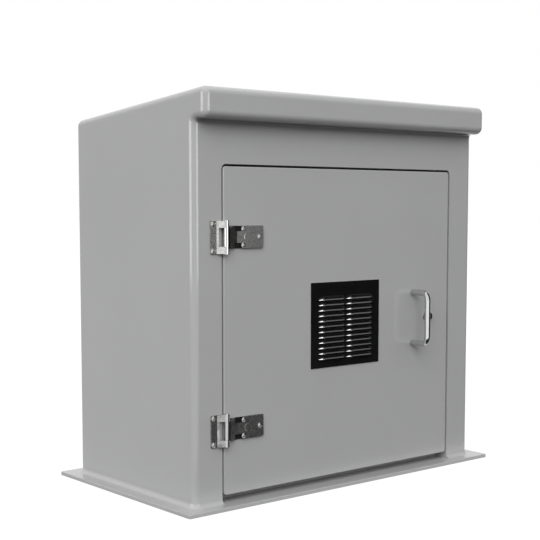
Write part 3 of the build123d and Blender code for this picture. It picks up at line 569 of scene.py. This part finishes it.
def floor_material():
    """White to look at, dark to bounce from."""
    material = bpy.data.materials.new("floor_white")
    material.use_nodes = True
    tree = material.node_tree
    tree.nodes.clear()
    output = tree.nodes.new("ShaderNodeOutputMaterial")
    glow = add(tree, "ShaderNodeEmission", Color=(1, 1, 1, 1), Strength=FLOOR_GLOW)
    card = add(tree, "ShaderNodeBsdfDiffuse", Color=(*FLOOR_WHITE, 1))
    bounce = add(tree, "ShaderNodeBsdfDiffuse", Color=(*FLOOR_BOUNCE, 1))
    white = add(tree, "ShaderNodeAddShader")
    tree.links.new(glow.outputs[0], white.inputs[0])
    tree.links.new(card.outputs[0], white.inputs[1])
    mixed = add(tree, "ShaderNodeMixShader", i0=seen_directly(tree))
    tree.links.new(bounce.outputs[0], mixed.inputs[1])
    tree.links.new(white.outputs[0], mixed.inputs[2])
    tree.links.new(mixed.outputs[0], output.inputs["Surface"])
    return material


def stage_sheet(name, points, faces, material):
    """A sheet of the studio, not of the cabinet."""
    mesh = bpy.data.meshes.new(name)
    mesh.from_pydata(points, [], faces)
    sheet = bpy.data.objects.new(name, mesh)
    scene.collection.objects.link(sheet)
    mesh.materials.append(material)
    return sheet


floor_signs = ((-1, -1), (1, -1), (1, 1), (-1, 1))
floor_corners = [(x * FLOOR_HALF, y * FLOOR_HALF, FLOOR_LEVEL) for x, y in floor_signs]
stage_sheet("floor", floor_corners, [(0, 1, 2, 3)], floor_material())

world = bpy.data.worlds.new("studio")
scene.world = world
world.use_nodes = True
sky = world.node_tree
sky.nodes.clear()
room_light = add(sky, "ShaderNodeBackground", Color=(1, 1, 1, 1), Strength=ROOM_LIGHT)
room_seen = add(sky, "ShaderNodeBackground", Color=(1, 1, 1, 1), Strength=ROOM_SEEN)
room = add(sky, "ShaderNodeMixShader", i0=seen_directly(sky))
sky.links.new(room_light.outputs[0], room.inputs[1])
sky.links.new(room_seen.outputs[0], room.inputs[2])
sky_output = sky.nodes.new("ShaderNodeOutputWorld")
sky.links.new(room.outputs[0], sky_output.inputs["Surface"])
print("floor and world are ready")

# %% [markdown]
# ## A dark flag
# Chrome and black paint have hardly a colour of their own: they show the room. In a room that is white all over
# they would look white and grey. A photographer stands a black flag just outside the picture, where the front of
# the cabinet mirrors it, and so does this scene. It runs along the ground in front of the door and curves up
# over it to the right. It is pale only close to the cabinet, where the flange mirrors the ground. Only mirror
# reflections see it, so it takes no light away and stays out of every view.

# %% Stand the flag on the right
FLAG_PALE = (0.80, 0.80, 0.80)
FLAG_DARK = (0.006, 0.006, 0.006)
FLAG_NEAR = 0.04
FLAG_FAR = 0.16
FLAG_RIGHT_PALE = 2.0
FLAG_RIGHT_DARK = 2.6
FLAG_FOOT_X = -0.75
FLAG_FOOT_AHEAD = 0.033
FLAG_LIFT = 0.003
FLAG_RADIUS = 3.0
FLAG_START = math.radians(-72.0)
FLAG_END = math.radians(8.0)
FLAG_TOP = math.radians(62.0)
FLAG_COLUMNS = 24
FLAG_ROWS = 12
flag_foot = Vector((FLAG_FOOT_X, front_face - FLAG_FOOT_AHEAD, FLAG_LIFT))
flag_centre = Vector((0.0, front_face, 0.0))


def dark_flag():
    """A strip of ground that joins a quarter of a dome on the right."""
    points = []
    faces = []
    for column in range(FLAG_COLUMNS + 1):
        share = column / FLAG_COLUMNS
        turn = FLAG_START + (FLAG_END - FLAG_START) * share
        inner = flag_foot.lerp(Vector((FLAG_RADIUS, flag_foot.y, flag_foot.z)), share)
        points.append(tuple(inner))
        for row in range(FLAG_ROWS + 1):
            rise = FLAG_TOP * row / FLAG_ROWS
            reach = FLAG_RADIUS * math.cos(rise)
            points.append((
                flag_centre.x + reach * math.cos(turn),
                flag_centre.y + reach * math.sin(turn),
                flag_foot.z + FLAG_RADIUS * math.sin(rise),
            ))
    stride = FLAG_ROWS + 2
    for column in range(FLAG_COLUMNS):
        for row in range(stride - 1):
            near = column * stride + row
            far = near + stride
            faces.append((near, near + 1, far + 1, far))
    return points, faces


flag_material, flag_tree, flag_shader = start_material("flag_black")
flag_place = add(flag_tree, "ShaderNodeSeparateXYZ", Vector=position(flag_tree))
flag_reach = math_node(flag_tree, "SUBTRACT", front_face, flag_place.outputs[1])
flag_far = between(flag_tree, flag_reach, FLAG_NEAR, FLAG_FAR, 0.0, 1.0, smooth=True)
flag_right = between(
    flag_tree, flag_place.outputs[0], FLAG_RIGHT_PALE, FLAG_RIGHT_DARK, 0.0, 1.0, smooth=True)
flag_share = math_node(flag_tree, "MAXIMUM", flag_far, flag_right)
connect(flag_tree, shade(flag_tree, flag_share, FLAG_PALE, FLAG_DARK), flag_shader.inputs["Base Color"])
flag_shader.inputs["Roughness"].default_value = 1.0
flag = stage_sheet("dark_flag", *dark_flag(), flag_material)
flag.visible_camera = False
flag.visible_diffuse = False
flag.visible_shadow = False
flag.visible_transmission = False
print("flag faces:", len(flag.data.polygons))

# %% [markdown]
# ## Lamps
# The key lamp stands high at the front left and does the lighting: it is a little stronger on the side than on
# the front, and the visor's shadow under the roof edge is its work. The other lamps are seen in reflections only.
# A box straight to the left and one straight in front draw the two bright lines on the moulding's rounded corner.
# They would burn out the round bar of the handle, so light linking leaves the handle out. The other way round, one
# box and one strip are linked to the louvre plate and the black lock head alone: a black coat mirrors only a
# twenty-fifth of what it sees, and the sparks on the ends of the hoods and the line on each lip need that much
# more.

# %% Soft boxes
def soft_box(name, place, target, width, height, power):
    """A rectangular lamp that faces a point."""
    data = bpy.data.lights.new(name, "AREA")
    data.shape = "RECTANGLE"
    data.size = width
    data.size_y = height
    data.energy = power
    lamp = bpy.data.objects.new(name, data)
    lamp.location = place
    lamp.rotation_euler = (Vector(target) - Vector(place)).to_track_quat("-Z", "Y").to_euler()
    scene.collection.objects.link(lamp)
    return lamp


lamp_target = Vector((0, 0, 0.45))
left_box = soft_box("left_box", (-4.0, 0.5, 1.12), lamp_target, width=2.8, height=1.8, power=76.0)
front_box = soft_box("front_box", (0.5, -4.3, 1.12), lamp_target, width=2.0, height=1.8, power=50.0)
spark_box = soft_box("spark_box", (-2.5, -4.0, 2.4), lamp_target, width=4.8, height=2.8, power=1500.0)
lip_strip = soft_box("lip_strip", (1.75, -2.05, 1.1), (0.0, front_face, 1.1), width=4.2, height=1.1, power=32.0)
for lamp in (left_box, front_box, spark_box, lip_strip):
    lamp.visible_diffuse = False
key_box = soft_box("key_box", (-5.0, -5.3, 5.5), lamp_target, width=8.0, height=6.0, power=605.0)
key_box.visible_glossy = False

burnt_out = bpy.data.collections.new("burnt_out")
burnt_out.objects.link(nodes["pull_handle"])
burnt_out.collection_objects[0].light_linking.link_state = "EXCLUDE"
for lamp in (left_box, front_box):
    lamp.light_linking.receiver_collection = burnt_out
black_pieces = bpy.data.collections.new("black_pieces")
for name in ("vent_louvre_plate", "lock_housing"):
    black_pieces.objects.link(nodes[name])
for lamp in (spark_box, lip_strip):
    lamp.light_linking.receiver_collection = black_pieces
print("lamps:", len(bpy.data.lights))

# %% Finish
print("scene is built")
